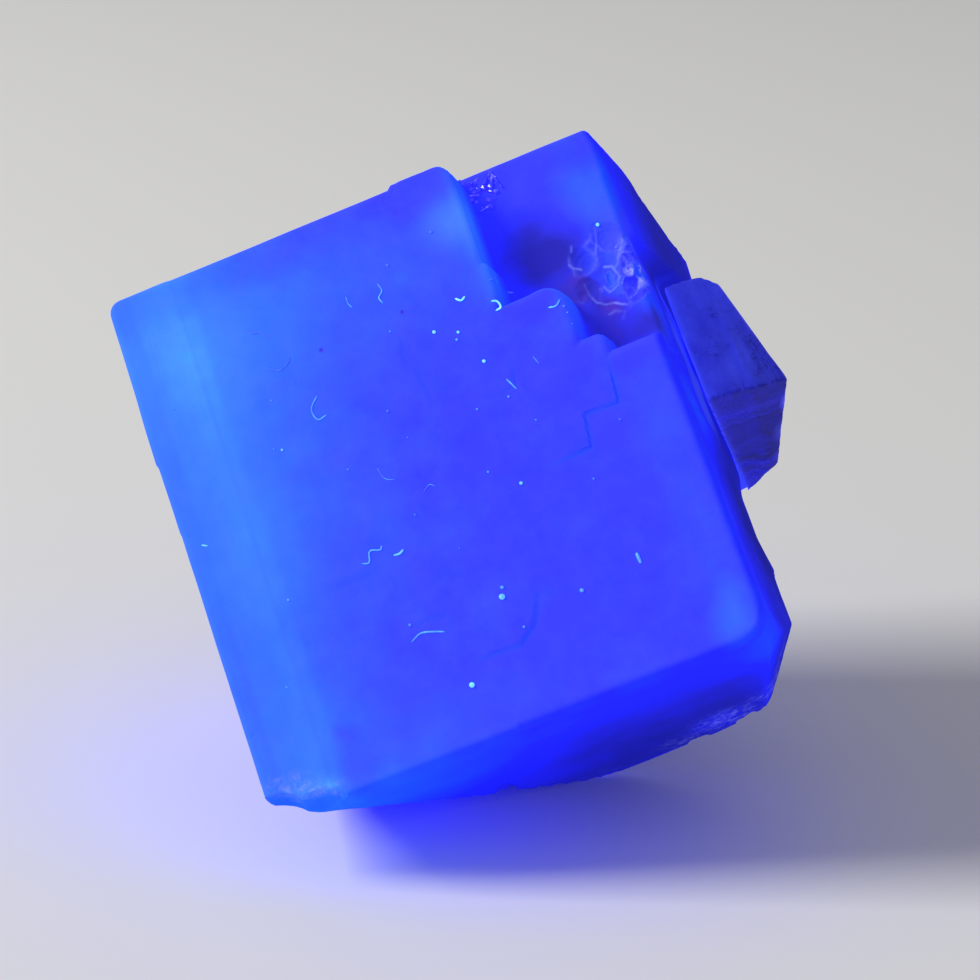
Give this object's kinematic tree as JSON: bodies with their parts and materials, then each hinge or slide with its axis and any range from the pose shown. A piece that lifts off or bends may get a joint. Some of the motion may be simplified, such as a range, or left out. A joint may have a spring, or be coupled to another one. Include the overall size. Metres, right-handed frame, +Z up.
{
  "type": "fluorite with quartz mineral specimen",
  "caption": "Hand specimen of a fluorite cube with stepped corner and a smaller crystal behind it, with a quartz crystal on its side; display piece that rests on its broken underside",
  "frame": {"origin": "on the table, below the middle of the specimen's bounding box", "axes": "+Z up, the large cube face looks towards -Y and upwards, the quartz crystal is on the +X side"},
  "size_m": [0.0274, 0.024, 0.0263],
  "materials": {
    "fluorite": "natural cube faces, glassy, clouded inside, glowing blue under long-wave ultraviolet light",
    "quartz": "natural crystal faces, glassy, striated across the prism",
    "druse": "crust of tiny glassy points"
  },
  "bodies": {
    "root": {"fluorite_crystal": "fluorite", "quartz_crystal": "quartz", "quartz_druse": "druse"}
  },
  "joints": []
}
